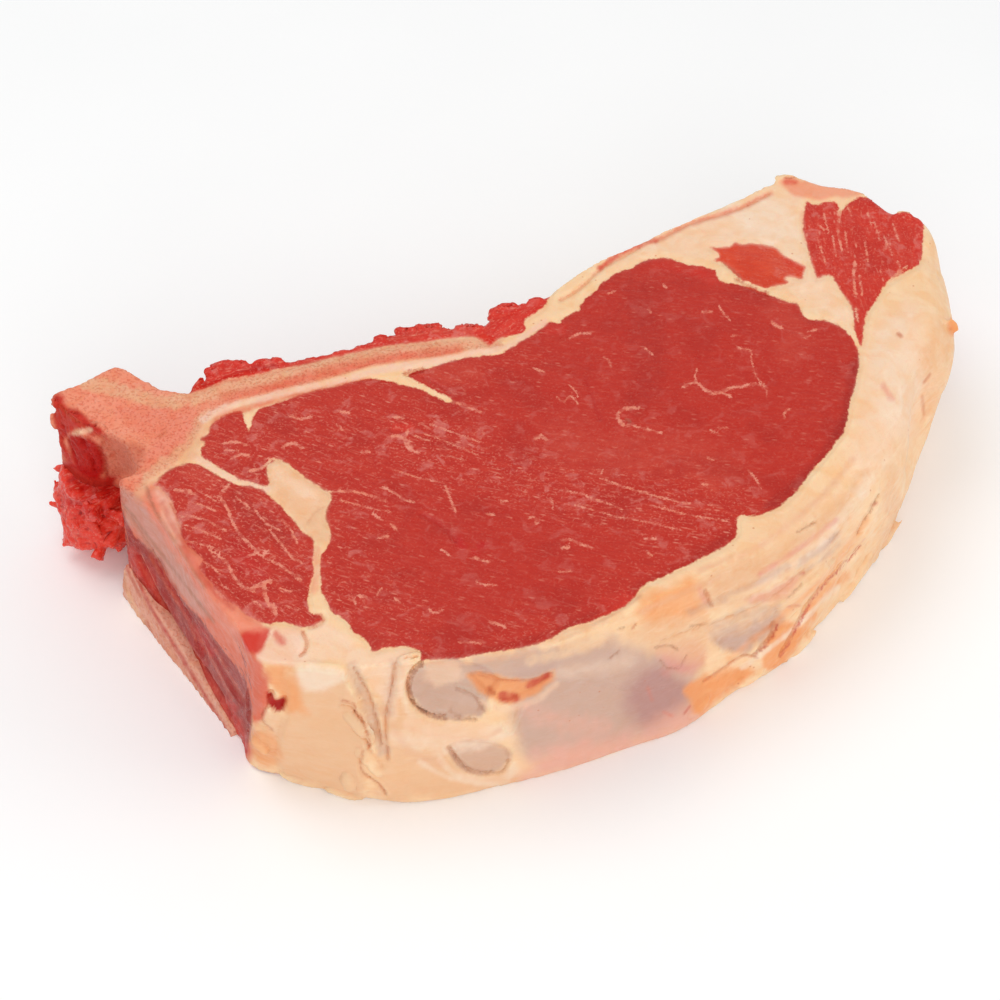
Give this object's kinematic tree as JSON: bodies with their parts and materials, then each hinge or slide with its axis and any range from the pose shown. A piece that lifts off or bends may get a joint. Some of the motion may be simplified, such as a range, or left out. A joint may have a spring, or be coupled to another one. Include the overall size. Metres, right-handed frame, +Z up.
{
  "type": "club steak",
  "caption": "Raw bone-in club steak, a thick flat slice of beef with a large eye of lean, a rib and backbone edge and a rounded rim of fat; it lies on its cut face.",
  "frame": {"origin": "middle of the steak's box, on the plane of its lower cut face", "axes": "+X from the backbone side to the belly end, along the length of the slice; +Y towards the rib edge; +Z up through the thickness"},
  "size_m": [0.2042, 0.112, 0.0426],
  "materials": {
    "lean": "moist raw lean with fine grain and thin marbling",
    "trim": "wet ragged lean, bright red",
    "fat": "waxy cream fat with orange and lilac stains",
    "bone": "sawn, porous and moist"
  },
  "bodies": {
    "root": {"eye_muscle": "lean", "multifidus": "lean", "sliver_muscle": "lean", "flank_muscle": "lean", "spine_meat": "lean", "rib_trim": "trim", "chine_trim": "trim", "fat_cap": "fat", "seam_fat": "fat", "bone": "bone", "feather_bone": "bone"}
  },
  "joints": []
}
